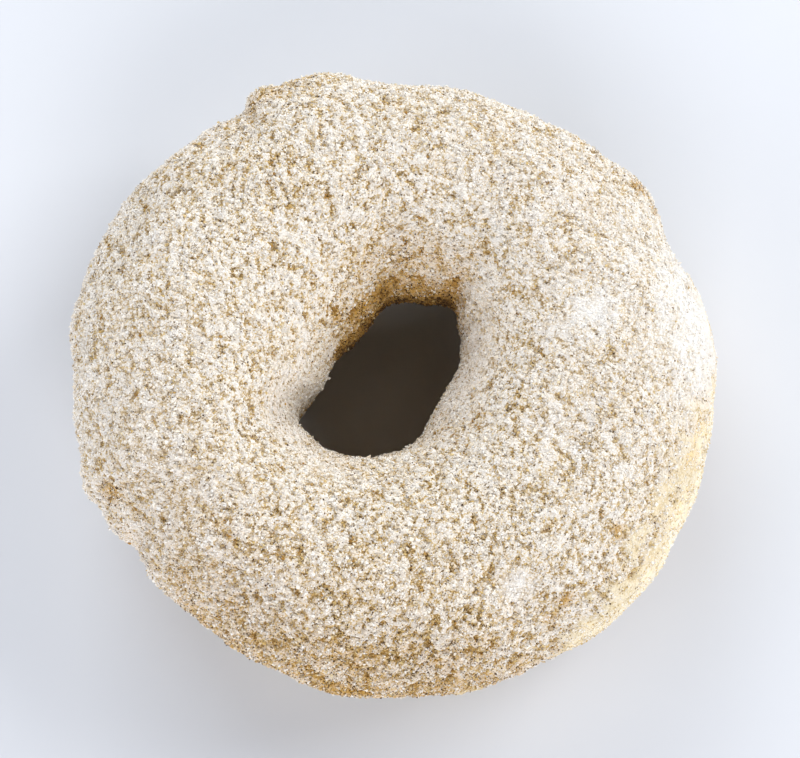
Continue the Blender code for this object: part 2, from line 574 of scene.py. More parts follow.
# %% Meshes from whole arrays
def mesh_object(name, points, corners, face_size, corner_map):
    """A mesh whose faces all have the same number of corners. Each corner has a point's
    number and a place in the map."""
    mesh = bpy.data.meshes.new(name)
    faces = len(corners) // face_size
    mesh.vertices.add(len(points))
    mesh.vertices.foreach_set("co", points.astype(np.float32).ravel())
    mesh.loops.add(len(corners))
    mesh.loops.foreach_set("vertex_index", corners.astype(np.int32))
    mesh.polygons.add(faces)
    mesh.polygons.foreach_set("loop_start", np.arange(faces, dtype=np.int32) * face_size)
    mesh.update(calc_edges=True)
    layer = mesh.uv_layers.new(name="OFBake")
    layer.uv.foreach_set("vector", corner_map.astype(np.float32).ravel())
    mesh.validate()
    piece = bpy.data.objects.new(name, mesh)
    bpy.context.scene.collection.objects.link(piece)
    return piece


def closed_ring(name, points):
    """A grid of rows round the section and columns round the ring, closed both ways. Its
    map runs 0 to 1 with the column and with the row."""
    rows, columns = points.shape[:2]
    row, column = np.meshgrid(np.arange(rows), np.arange(columns), indexing="ij")
    row, column = row.ravel(), column.ravel()
    row_steps = np.array([0, 0, 1, 1])
    column_steps = np.array([0, 1, 1, 0])
    corner_row = row[:, None] + row_steps
    corner_column = column[:, None] + column_steps
    corners = corner_row % rows * columns + corner_column % columns
    corner_map = np.stack([corner_column / columns, corner_row / rows], axis=-1)
    piece = mesh_object(name, points.reshape(-1, 3), corners.ravel(), 4, corner_map)
    piece.data.polygons.foreach_set("use_smooth", np.ones(rows * columns, dtype=bool))
    return piece


def add_numbers(piece, name, values):
    """One number for each point, which a material can read by name."""
    attribute = piece.data.attributes.new(name, "FLOAT", "POINT")
    attribute.data.foreach_set("value", values.astype(np.float32).ravel())


def report(piece):
    """Prints a piece's triangles and its box in millimetres."""
    piece.data.calc_loop_triangles()
    sides = [round(side / MM, 1) for side in piece.dimensions]
    print(piece.name, len(piece.data.loop_triangles), "triangles,", sides, "mm")


# %% [markdown]
# ## Bare dough
#
# Under the coat the dough is a soft, slightly wrinkled skin. It could be the solid's own
# mesh with a bump, but then it would stand as high under the crumbs as beside them. So the
# form is asked for again, a little over 2 mm deeper where crumbs cover it and nearly at the
# solid's surface where it is bare, and it only starts to sink well under the coat's border.
# It is built first and whole, because the coat is measured from it.

# %% The dough ring
COVERED_DEPTH = 2.1 * MM  # of the dough inside the solid, where the coat lies
BARE_DEPTH = 0.15 * MM  # and where it is bare
DOUGH_SINKS = 0.3  # cover from which the dough lies deeper, so that no trench borders the coat
WRINKLE_HEIGHT = 0.05 * MM
WRINKLE_LAYERS = ((1.6 * MM, 1.0, 21), (0.7 * MM, 0.5, 22))  # size, share, seed


def dough_points(angle, turn):
    """The ring's surface moved in by a depth that an eased step in the cover blends from bare
    to covered, less a wrinkle, a soft field in two sizes. Returns points, normals, cover."""
    surface = ring_surface(angle, turn)
    normals = sheet_normals(surface)
    cover = coat_cover(angle, turn, surface)
    wrinkle = layered_field(surface, WRINKLE_LAYERS)
    sunk = ease(cover, DOUGH_SINKS, 1.0)
    depth = BARE_DEPTH + (COVERED_DEPTH - BARE_DEPTH) * sunk - WRINKLE_HEIGHT * wrinkle
    points = surface - normals * depth[..., None]
    points[..., 2] = np.maximum(points[..., 2], 0)
    return points, normals, cover


DOUGH_STEPS = (420, 190)
turns, angles = turns_and_bearings(DOUGH_STEPS)
# A spare row at each end, from once more round the section, gives the last rows' normals.
spare_turns = np.concatenate([turns[-1:] - 2 * np.pi, turns, turns[:1] + 2 * np.pi])
spare_angles = np.concatenate([angles[-1:], angles, angles[:1]])
points, normals, cover = (grid[1:-1] for grid in dough_points(spare_angles, spare_turns))
dough = closed_ring("fried_dough", points)
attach(dough, "root")
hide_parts("doughnut")
report(dough)

# %% [markdown]
# Hot fat browned the dough on both flat sides, where it floated, and left a pale line round
# the waist between them. Down the hole's wall the brown is darker than frying alone makes
# it, a painted shade that keeps the hole dark. A crumb coat rubs some gold onto the bare
# skin beside it as well.
# These are stored as numbers on the mesh, and the dough's material turns them into colours
# later. The turn itself would jump from one end of its scale to the other at a seam, so the
# number that is stored is the browning, which is the same on both sides of it.

# %% Numbers that colour the dough
# Turns in degrees between which the dough goes from pale to golden, and on to brown
GOLDEN_STEPS = ((14, 47), (-4, -18))
# Between turns 151 and 184 the brown runs down the hole's wall, where its darkness is partly
# painted shade.
BROWN_STEPS = ((151, 184), (-18, -43))
CROWN_TURN = 90  # the top of the section, between its outer flank and the hole's side


def browning(turn):
    """0 on the pale line round the waist, 0.5 on golden skin and 1 on brown skin: the mean
    of two numbers, each the larger of two eased steps in the turn."""
    degrees = section_degrees(turn)
    golden, brown = (
        np.maximum(ease(degrees, *steps[0]), ease(degrees, *steps[1]))
        for steps in (GOLDEN_STEPS, BROWN_STEPS)
    )
    return (golden + brown) / 2


no_numbers = np.zeros_like(turns)
dough_skin = {
    "points": points,
    "normals": normals,
    "cover": cover,
    "turn": turns,
    "toasted_and_shaded": toasted_and_shaded(angles, turns, points),
    "relief": no_numbers,
    "tone": no_numbers,
    "patches": no_numbers,
    "thin": np.ones_like(turns),
}
add_numbers(dough, "near_coat", cover * (section_degrees(turns) < CROWN_TURN))
add_numbers(dough, "browning", browning(turns))
add_numbers(dough, "toasted_and_shaded", dough_skin["toasted_and_shaded"])
print("share of the dough that is browned:", round(float((browning(turns) > 0.5).mean()), 2))

# %% [markdown]
# ## The clumped coat
#
# Seen close, the coat is a crust of clumps about a millimetre across with deep, narrow
# pits between them, drawn out a little along one way because the ring was pushed through
# the crumbs. A displacement modifier could raise a noise texture, but then the pits'
# depth would be out of reach for the layers that follow. The relief is worked out here as
# numbers, so the same numbers raise the crust, colour its pits darker, partly as painted
# shade, and later decide where pale and golden grains settle.

# %% Relief of the coat
DRAWN_WAY = np.array([0.26, -0.966, 0.0])  # way along which the clumps are longer
DRAWN_SHARE = 0.54  # width of a clump as a share of its length
BEND = 0.35 * MM  # how far the clumps are bent out of shape
BEND_SIZE = 1.1 * MM
BEND_SEED = 31
DOME_LEVEL = 0.62  # middling value of a field of domes
# Height in mm, size and seed of the domes and of the soft fields
DOMES = ((0.29, 1.3 * MM, 35), (0.48, 0.75 * MM, 36))
BROAD = (0.02, 5.5 * MM, 37)
MIDDLE = (0.17, 1.1 * MM, 38)
FINE = (0.36, 0.5 * MM, 39)


def drawn_out(points):
    """The points squeezed along the way that the clumps are drawn out, so that whatever is
    worked out from them is that much longer."""
    along = (points @ DRAWN_WAY)[..., None] * DRAWN_WAY
    return points - (1 - DRAWN_SHARE) * along


def coat_relief(points):
    """Domes of two sizes and three soft fields, each times its height. The domes and the
    middle field are drawn out, and the domes are bent by a soft field along each axis."""
    drawn = drawn_out(points)
    bend = [soft_field(drawn, BEND_SIZE, BEND_SEED + axis) for axis in range(3)]
    bent = drawn + BEND * np.stack(bend, axis=-1)
    total = 0
    for height, size, seed in DOMES:
        total = total + height * (dome_field(bent, size, seed) - DOME_LEVEL)
    for spots, (height, size, seed) in ((points, BROAD), (drawn, MIDDLE), (points, FINE)):
        total = total + height * soft_field(spots, size, seed)
    return MM * total


relief_spread = np.percentile(coat_relief(samples) / MM, [2, 50, 98])
print("relief in mm at 2, 50 and 98 percent:", np.round(relief_spread, 2))


# %% [markdown]
# Where the dry mix was poor in powder, golden crumbs show in streaks between the pale ones.
# The streaks could follow the pits alone, but on the real coat they cross some clumps too.
# So they get a field of their own, drawn out like the clumps, and both the crust's colour
# and the choice of grains lean on it.

# %% Golden patches
PATCH_SIZE = 0.8 * MM
PATCH_SHARE = 0.9
PATCH_SEED = 41
BROAD_PATCHES = (2.5 * PATCH_SIZE, 0.12, 42)  # size, share, seed


def golden_patches(points):
    """A small soft field, drawn out, plus a broader and weaker one: above 0 golden crumbs
    are common, below 0 rare."""
    small = PATCH_SHARE * soft_field(drawn_out(points), PATCH_SIZE, PATCH_SEED)
    return small + layered_field(points, (BROAD_PATCHES,))


patch_spread = np.percentile(golden_patches(samples), [2, 50, 98])
print("golden patches at 2, 50 and 98 percent:", np.round(patch_spread, 2))

# %% [markdown]
# The crust is made as two closed bands, one on the outer flank and one over the crown and
# into the hole, because one mesh fine enough for both would be too heavy. Each band has an
# outer skin, whose rows lie close, and a plain inner skin inside the dough that closes it.
# Where the cover ends, the crust dives under the dough instead of stopping at a cut edge.

# %% The skin of the crust
COAT_DEPTH = 1.7 * MM  # of a full coat over the dough
RELIEF_SHARE = 0.8  # share of the relief that is raised; all of it colours the crust
SINK = 0.7 * MM  # how far the crust dips into the dough where there is no cover
POWDER_CALM = 0.8  # share of the relief that powder levels
THIN_COVER = (0.45, 0.95)  # between these covers the dough shows through less and less


def coat_skin(first_turn, last_turn, rows, columns):
    """Rows between two turns in degrees. The height over the dough is the cover times the sum
    of the coat's depth, heaps, raised relief and sink, less the sink, so that it goes below
    the dough where the cover ends. Powder levels the relief and hides a thin coat."""
    row_turns = np.radians(np.linspace(first_turn, last_turn, rows))
    turn, angle = np.meshgrid(row_turns, full_turn(columns), indexing="ij")
    base, normals, cover = dough_points(angle, turn)
    surface = ring_surface(angle, turn)
    powder, tone = powdered(angle, turn, surface)
    relief = coat_relief(surface) * (1 - POWDER_CALM * powder) * deeper(angle, turn)
    height = cover * (COAT_DEPTH + heaped(angle, turn) + RELIEF_SHARE * relief + SINK) - SINK
    on_flank = section_degrees(turn) < CROWN_TURN
    thin = (1 - ease(cover, *THIN_COVER)) * on_flank * (1 - powder)
    points = base + normals * height[..., None]
    points[..., 2] = np.maximum(points[..., 2], 0)
    return {
        "points": points,
        "base": base,
        "normals": normals,
        "cover": cover,
        "turn": turn,
        "toasted_and_shaded": toasted_and_shaded(angle, turn, surface),
        "powdered": powder,
        "relief": relief,
        "tone": tone,
        "patches": golden_patches(surface),
        "thin": thin,
    }


outer_skin = coat_skin(first_turn=-58, last_turn=86, rows=132, columns=720)
inner_skin = coat_skin(first_turn=82, last_turn=224, rows=158, columns=605)
for skin in (outer_skin, inner_skin):
    print("skin of", skin["cover"].size, "points, mean cover", round(skin["cover"].mean(), 2))

# %% The two bands of crust
BAND_DEPTH = 3.0 * MM  # of the inner skin under the dough's surface
INNER_ROWS = 6
# Numbers stored on the bands, and their units
BAND_NUMBERS = {"relief": MM, "toasted_and_shaded": 1, "powdered": 1, "tone": 1, "patches": 1, "thin": 1}


def coat_band(name, skin):
    """The outer skin, then some of the dough's rows under it, backwards and deeper, as one
    closed ring."""
    rows = len(skin["points"])
    back_rows = np.linspace(rows - 1, 0, INNER_ROWS).astype(int)
    inner = skin["base"][back_rows] - skin["normals"][back_rows] * BAND_DEPTH
    inner[..., 2] = np.maximum(inner[..., 2], BAND_DEPTH / 2)
    band = closed_ring(name, np.concatenate([skin["points"], inner]))
    for key, unit in BAND_NUMBERS.items():
        values = skin[key] / unit
        add_numbers(band, key, np.concatenate([values, values[back_rows]]))
    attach(band, "root")
    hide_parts("doughnut")
    report(band)
    return band


outer_coat = coat_band("crumb_coat_outer", outer_skin)
inner_coat = coat_band("crumb_coat_inner", inner_skin)

# %% [markdown]
# ## Loose grains
#
# What makes the coat look dry and soft are thousands of separate grains, in six kinds:
# white sugar, fine powder, pale crumbs, golden crumbs that collect in the pits, dark brown
# specks, mostly in the pits, which are partly real specks and partly painted shade in the
# gaps between grains, and a dust of crumbs that sticks to bare dough. They could be
# instances on points, but a mesh at true size goes anywhere. Each kind is one mesh: a
# simple crystal is copied, squashed, knocked out of shape and turned at random for each
# grain, all in one array, and set half into the crust.

# %% Scatter places over the skins
GRAIN_NUMBERS = ("points", "normals", "relief", "toasted_and_shaded", "tone", "patches", "thin")


def scatter(skins, weights, count, rng):
    """Picks cells of the grids by area times weight, then a random spot in each, whose
    numbers are those of the cell's four corners blended: each corner's share is the product
    of how near the spot lies to it both ways."""
    chances, owners = [], []
    for number, (skin, weight) in enumerate(zip(skins, weights)):
        p = skin["points"]
        right = np.roll(p, -1, axis=1)
        area = np.linalg.norm(np.cross(right[:-1] - p[:-1], p[1:] - p[:-1]), axis=-1)
        chances.append((area * weight[:-1]).ravel())
        owners.append(np.full(chances[-1].size, number))
    sizes = [len(c) for c in chances]
    starts = np.concatenate([[0], np.cumsum(sizes)[:-1]])
    chances, owners = np.concatenate(chances), np.concatenate(owners)
    picked = rng.choice(len(chances), count, p=chances / chances.sum())
    across, up = rng.uniform(0, 1, (2, count))
    found = {key: [] for key in GRAIN_NUMBERS}
    for number, skin in enumerate(skins):
        mine = owners[picked] == number
        columns = skin["points"].shape[1]
        row, column = np.divmod(picked[mine] - starts[number], columns)
        beside = (column + 1) % columns
        u, v = across[mine], up[mine]
        shares = ((1 - u) * (1 - v), u * (1 - v), u * v, (1 - u) * v)
        spots = ((row, column), (row, beside), (row + 1, beside), (row + 1, column))
        for key in GRAIN_NUMBERS:
            grid = skin[key]
            extra = (slice(None),) + (None,) * (grid.ndim - 2)
            value = sum(share[extra] * grid[spot] for share, spot in zip(shares, spots))
            found[key].append(value)
    found = {key: np.concatenate(values) for key, values in found.items()}
    found["normals"] /= np.linalg.norm(found["normals"], axis=-1, keepdims=True)
    return found


# %% [markdown]
# The crystal that is copied has very few faces, because it is repeated tens of thousands
# of times: two pyramids, base to base, on a triangle. A ball would be smoother and a cube
# truer to sugar, but at this size only the sparkle of flat faces shows.

# %% The crystal and its turns
def twin_pyramid(sides):
    """A top, a bottom and a ring of points round the waist; faces run round above and below."""
    around = full_turn(sides)
    waist = np.stack([np.cos(around), np.sin(around), np.zeros(sides)], axis=-1)
    points = np.concatenate([waist, [[0, 0, 1.0], [0, 0, -1.0]]])
    here = np.arange(sides)
    beyond = (here + 1) % sides
    upper = np.stack([here, beyond, np.full(sides, sides)], axis=-1)
    lower = np.stack([beyond, here, np.full(sides, sides + 1)], axis=-1)
    return points, np.concatenate([upper, lower])


def random_turns(count, rng):
    """Rotation matrices, the usual nine products of random unit quaternions."""
    q = rng.normal(size=(count, 4))
    w, x, y, z = (q / np.linalg.norm(q, axis=1, keepdims=True)).T
    rows = (
        (1 - 2 * (y * y + z * z), 2 * (x * y - z * w), 2 * (x * z + y * w)),
        (2 * (x * y + z * w), 1 - 2 * (x * x + z * z), 2 * (y * z - x * w)),
        (2 * (x * z - y * w), 2 * (y * z + x * w), 1 - 2 * (x * x + y * y)),
    )
    return np.stack([np.stack(row, axis=-1) for row in rows], axis=-2)


GRAIN_SIDES = 3
crystal, crystal_faces = twin_pyramid(GRAIN_SIDES)
print("crystal of", len(crystal_faces), "faces")

# %% Build one kind of grain
SIZE_SPREAD = 0.28  # how much grains of a kind differ in size
SIZE_LIMIT = 1.6  # of a grain's own difference, in spreads
STRETCH = 0.25  # how much a grain's three sides differ
STRETCH_LIMIT = 1.7
KNOCK = 0.22  # how far a grain's corners are knocked out of place
LIFT = 0.15  # how far its middle stands above the crust, as a share of half its size
LIFT_SPREAD = 0.5  # and how much that differs, up or down
FLOOR_GAP = 0.02 * MM  # least height of a grain over the floor
GRAIN_IN_MAP = ((0.1, 0.1), (0.9, 0.1), (0.5, 0.9))  # each face in its grain's square


def grain_piece(name, found, size, tone, rng):
    """Every grain's corners at once: crystal times its size, three stretches and each
    corner's knock, turned, and moved to its spot plus the lift along the normal. Each grain
    has its own small square in the map, so it keeps one colour."""
    count = len(found["points"])
    own = np.clip(rng.normal(size=count), -SIZE_LIMIT, SIZE_LIMIT)
    half = size / 2 * np.exp(SIZE_SPREAD * own)
    stretch = np.exp(STRETCH * rng.uniform(-STRETCH_LIMIT, STRETCH_LIMIT, (count, 3)))
    knock = 1 + KNOCK * rng.uniform(-1, 1, (count, len(crystal), 1))
    local = crystal[None] * knock * stretch[:, None, :] * half[:, None, None]
    turned = np.einsum("nij,nkj->nki", random_turns(count, rng), local)
    raised = half * (LIFT + LIFT_SPREAD * rng.uniform(-1, 1, count))
    place = found["points"] + found["normals"] * raised[:, None]
    corners_at = place[:, None, :] + turned
    low = corners_at[..., 2].min(axis=1)
    corners_at[..., 2] += np.maximum(FLOOR_GAP - low, 0)[:, None]
    first = np.arange(count)[:, None, None] * len(crystal)
    corners = (crystal_faces[None] + first).ravel()
    cells = math.ceil(math.sqrt(count))
    cell = np.stack([np.arange(count) % cells, np.arange(count) // cells], axis=-1)
    corner_map = (cell[:, None, None, :] + np.array(GRAIN_IN_MAP)[None, None]) / cells
    map_shape = (count, len(crystal_faces), 3, 2)
    corner_map = np.broadcast_to(corner_map, map_shape).reshape(-1, 2)
    piece = mesh_object(name, corners_at.reshape(-1, 3), corners, 3, corner_map)
    flat = np.zeros(count * len(crystal_faces), dtype=bool)
    piece.data.polygons.foreach_set("use_smooth", flat)
    add_numbers(piece, "tone", np.repeat(tone, len(crystal)))
    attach(piece, "root")
    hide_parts("doughnut")
    report(piece)
    return piece


# %% [markdown]
# Where the grains settle follows the relief: sugar lies on the tops, golden crumbs show in
# the pits, and everything thins out with the cover. Under the waist little sticks. Spread
# evenly, the grains would look like sand. Weights that differ from kind to kind sort them
# as shaking does on the real thing.

# %% Weights for the grains
PIT_TO_TOP = (-0.42, 0.02)  # relief in mm at which a pit ends and a top begins
LEAST_SHOWN = 0.25  # share of the grains that is left below the waist and deep in the hole
SHOWN_STEPS = ((-30, 10), (205, 170))  # turns between which that share grows to 1
COVER_FOR_GRAINS = (0.35, 0.7)


def settled(skin, pit_share, top_share, toasted_and_shade_gain, powdered_gain, patch_gain):
    """Weight of a kind at each grid point: its shares for pits and tops blended by an eased
    step in the relief, times another in the cover, times one plus a gain for toasted places,
    which include painted shade, and for powdered places, times e to the power of the patch
    gain times the patches, and less below the waist and deep in the hole."""
    height = ease(skin["relief"] / MM, *PIT_TO_TOP)
    degrees = np.degrees(skin["turn"])
    outer, inner = (ease(degrees, *steps) for steps in SHOWN_STEPS)
    shown = LEAST_SHOWN + (1 - LEAST_SHOWN) * outer * inner
    on_coat = ease(skin["cover"], *COVER_FOR_GRAINS)
    places = np.maximum(0, 1 + toasted_and_shade_gain * skin["toasted_and_shaded"])
    places = places * np.maximum(0, 1 + powdered_gain * skin["powdered"])
    places = places * np.exp(patch_gain * skin["patches"])
    return (pit_share + (top_share - pit_share) * height) * shown * on_coat * places


FAR_DUST = 0.4  # weight of the dust away from the coat
NEAR_DUST = 3  # and how much is added close to it
NEAR_COVER = (0, 0.4)
COATED = (0.4, 0.7)  # covers between which dough stops being bare
DUST_BEGINS = (-45, -10)  # turns under the waist between which dust sets in
DUST_ENDS = 120  # turn beyond the crown where it ends


def dusted(skin, share):
    """Weight of the dust that lies on dough without a coat: more of it close to the coat,
    by an eased step in the cover, and none far below the waist or inside the hole."""
    degrees = section_degrees(skin["turn"])
    near_coat = FAR_DUST + NEAR_DUST * ease(skin["cover"], *NEAR_COVER)
    bare = 1 - ease(skin["cover"], *COATED)
    return share * near_coat * bare * ease(degrees, *DUST_BEGINS) * (degrees < DUST_ENDS)


dust_weight = dusted(dough_skin, 1.0)
print("share of the dough's grid that dust can reach:", round((dust_weight > 0).mean(), 2))

# %% Tones of the grains
# Grains in the pits get a darker tone, partly as painted shade
TONE_RELIEF = (-0.5, 0.5)  # relief in mm that gives the lowest and the highest tone
THIN_LIGHTER = 0.35
TOASTED_AND_SHADE_DARKER = 0.35
PATCH_DARKER = 0.36
SEED = 7
rng = np.random.default_rng(SEED)


def tones(found, low, high, spread):
    """A grain's tone: from low to high by an eased step in the relief, so that grains in the
    pits are darker, partly as painted shade, plus its own random difference and that of the
    place, lighter on a thin coat and on bare dough, darker where toasted and in golden
    patches. From 0 to 1. The places' changes include painted shade, on the hole's walls, the
    near flank and deep in the hole, and painted light on the right flank."""
    height = ease(found["relief"] / MM, *TONE_RELIEF)
    own = spread * rng.normal(size=len(height))
    places = found["tone"] + THIN_LIGHTER * found["thin"]
    places = places - TOASTED_AND_SHADE_DARKER * found["toasted_and_shaded"] - PATCH_DARKER * found["patches"]
    return np.clip(low + (high - low) * height + own + places, 0, 1)


# %% Settle the grains
# name, how many, size in mm, shares for pits, tops and dust, gains where toasted (painted
# shade included), powdered and in golden patches, tones for pits and tops and their spread
KINDS = (
    ("sugar_grains", 33000, 0.31, (0.04, 1.0, 0.35), (-0.86, 0.2, -0.6), (0.25, 0.9, 0.35)),
    ("powder_grains", 33000, 0.25, (0.10, 1.0, 1.1), (-1.0, 2.2, -0.4), (0.25, 0.85, 0.35)),
    ("pale_crumbs", 33000, 0.41, (0.02, 1.0, 0.03), (-0.88, -0.85, -0.4), (0.25, 0.85, 0.36)),
    ("golden_crumbs", 22000, 0.32, (1.0, 0.01, 0.06), (2.6, -1.0, 1.5), (0.35, 0.75, 0.25)),
    # Dark specks: partly real specks, partly painted shade in the gaps between grains
    ("specks_and_gap_shade", 30000, 0.19, (1.0, 0.45, 0.03), (5.0, -0.9, 0.3), (0.08, 0.28, 0.25)),
    ("dough_dust", 14000, 0.22, (0.0, 0.0, 1.0), (0.0, 0.0, 0.0), (0.25, 0.25, 0.35)),
)
grains = {}
for name, count, size, (in_pits, on_tops, as_dust), gains, tone_range in KINDS:
    on_crust = [settled(skin, in_pits, on_tops, *gains) for skin in (outer_skin, inner_skin)]
    weights = [*on_crust, dusted(dough_skin, as_dust)]
    found = scatter((outer_skin, inner_skin, dough_skin), weights, count, rng)
    grains[name] = grain_piece(name, found, size * MM, tones(found, *tone_range), rng)

# %% [markdown]
# ## Materials
#
# All finishes are dry and rough, so what tells them apart is colour at the right scale.
# Each material is a small node tree: a number stored on the mesh picks a colour from a
# ramp, and noise in object space breaks it up. Painted image textures would look the
# same, but nodes stay sharp at any distance. The trees are built with a few short helpers,
# each of which adds one node and hands back the socket that the next one reads.

# %% Helpers for numbers
def new_material(name):
    """A new material, its node tree and its main shader."""
    material = bpy.data.materials.new(name)
    material.use_nodes = True
    tree = material.node_tree
    shader = tree.nodes["Principled BSDF"]
    return material, tree, shader


def attribute_node(tree, name):
    """Reads one stored number by its name."""
    node = tree.nodes.new("ShaderNodeAttribute")
    node.attribute_name = name
    return node.outputs["Fac"]


def noise_node(tree, size, detail, roughness=0.6):
    """Noise in object space whose grain is about the given size. More detail adds finer
    layers, and the roughness says how strong they are."""
    where = tree.nodes.new("ShaderNodeTexCoord")
    node = tree.nodes.new("ShaderNodeTexNoise")
    node.inputs["Scale"].default_value = 1 / size
    node.inputs["Detail"].default_value = detail
    node.inputs["Roughness"].default_value = roughness
    tree.links.new(where.outputs["Object"], node.inputs["Vector"])
    return node.outputs["Fac"]


def math_node(tree, operation, first, second, third=None):
    """One step of arithmetic on sockets or plain numbers."""
    node = tree.nodes.new("ShaderNodeMath")
    node.operation = operation
    for socket, value in zip(node.inputs, (first, second, third)):
        if isinstance(value, bpy.types.NodeSocket):
            tree.links.new(value, socket)
        elif value is not None:
            socket.default_value = value
    return node.outputs["Value"]


def clamp_node(tree, value):
    """The value kept between 0 and 1."""
    node = tree.nodes.new("ShaderNodeClamp")
    tree.links.new(value, node.inputs["Value"])
    return node.outputs["Result"]


def centred(tree, value, gain, base):
    """Base plus gain times how far a value lies from a half."""
    return math_node(tree, "MULTIPLY_ADD", math_node(tree, "SUBTRACT", value, 0.5), gain, base)


# %% Helpers for colours
MIX_INPUTS = (0, 6, 7)  # the share and the two colours among a colour mix's sockets
MIX_OUTPUT = 2


def ramp_node(tree, value, stops):
    """A ramp of colours, from pairs of position and colour."""
    node = tree.nodes.new("ShaderNodeValToRGB")
    elements = node.color_ramp.elements
    while len(elements) < len(stops):
        elements.new(0.5)
    for element, (position, colour) in zip(elements, stops):
        element.position = position
        element.color = (*colour, 1.0)
    tree.links.new(value, node.inputs["Fac"])
    return node.outputs["Color"]


def mix_node(tree, share, first, second):
    """Mixes two colours by a share from 0, all the first, to 1, all the second. Each of the
    three is a socket, or a plain number or colour."""
    node = tree.nodes.new("ShaderNodeMix")
    node.data_type = "RGBA"
    sockets = [node.inputs[number] for number in MIX_INPUTS]
    for socket, value in zip(sockets, (share, first, second)):
        if isinstance(value, bpy.types.NodeSocket):
            tree.links.new(value, socket)
        elif isinstance(value, (int, float)):
            socket.default_value = value
        else:
            socket.default_value = (*value, 1.0)
    return node.outputs[MIX_OUTPUT]


def bump_node(tree, height, depth):
    """Turns a height from 0 to 1 into a bump of the given depth."""
    node = tree.nodes.new("ShaderNodeBump")
    node.inputs["Strength"].default_value = 1.0
    node.inputs["Distance"].default_value = depth
    tree.links.new(height, node.inputs["Height"])
    return node.outputs["Normal"]


# %% [markdown]
# ## The crust's finish
#
# The crust is one warm hue that goes from brown in the pits, over gold and cream, to nearly
# white on the tops. A flat colour with shadows alone would look like plaster, because real
# pits show darker crumbs; the brown in the pits and the darker creases between crumbs are
# also painted shade, deeper than the relief's own shadows. So one number, the level, picks
# the colour from a ramp. The relief gives it most of its say, then come the golden patches,
# the toasted places, partly painted shade, each crumb's own number and a fine noise.
# Powder, browning and bare dough go over that.

# %% The crust's colours
PIT = (0.31, 0.19, 0.07)
GOLDEN = (0.595, 0.425, 0.175)
CREAM = (0.77, 0.66, 0.51)
PALE = (0.87, 0.82, 0.755)
CRUST_STOPS = ((0.08, PIT), (0.33, GOLDEN), (0.56, CREAM), (0.8, PALE))
# Golden brown of toasted crumbs, also painted shade on the near, lower flank
TOASTED_AND_SHADE_COLOUR = (0.52, 0.285, 0.05)
# Painted shade at the bottom of the hole, where the toasted number goes above 1
HOLE_SHADE_BROWN = (0.15, 0.075, 0.022)
DOUGH_YELLOW = (0.75, 0.64, 0.43)
# Grey powder; where a place lowers the tone, on the hole's walls, this grey is painted half shade
POWDER = (0.74, 0.68, 0.63)
SUGAR_WHITE = (0.89, 0.875, 0.86)
CRUMB_SIZE = 0.38 * MM
print("crust from", PIT, "to", PALE)


def crumb_node(tree, size):
    """Cells through space, one for each crumb: the distance from the crumb's middle, and
    a random number of its own."""
    where = tree.nodes.new("ShaderNodeTexCoord")
    node = tree.nodes.new("ShaderNodeTexVoronoi")
    node.inputs["Scale"].default_value = 1 / size
    tree.links.new(where.outputs["Object"], node.inputs["Vector"])
    own = tree.nodes.new("ShaderNodeSeparateColor")
    tree.links.new(node.outputs["Color"], own.inputs["Color"])
    return node.outputs["Distance"], own.outputs["Red"]


# %% The crust's material
# How far each number moves the level on the ramp
LEVEL_AT_REST = 0.66
# The relief darkens the pits, partly as painted shade
RELIEF_GAIN = 0.75
PATCH_GAIN = -0.3
# Toasted places lower the level, partly as painted shade
TOASTED_AND_SHADE_GAIN = -0.3
OWN_GAIN = 0.45  # of each crumb's own number
# Darkens the creases between crumbs, a painted shade
AWAY_GAIN = -1.1  # of the distance from the crumb's middle
FINE_GAIN = 0.8
FINE_SIZE = 0.25 * MM
# How strongly the places show
WHITE_GAIN = 3.0  # from a place's change of tone to the white of its powder
POWDER_SHARE = 0.85
BROWNED_SHARE = 0.85
THIN_SHARE = 0.75
# The bump
GRIT_SIZE = 0.2 * MM
GRIT_GAIN = 0.8
GRIT_DEPTH = 0.18 * MM
CRUST_ROUGHNESS = 0.95
CRUST_SHEEN = 0.25


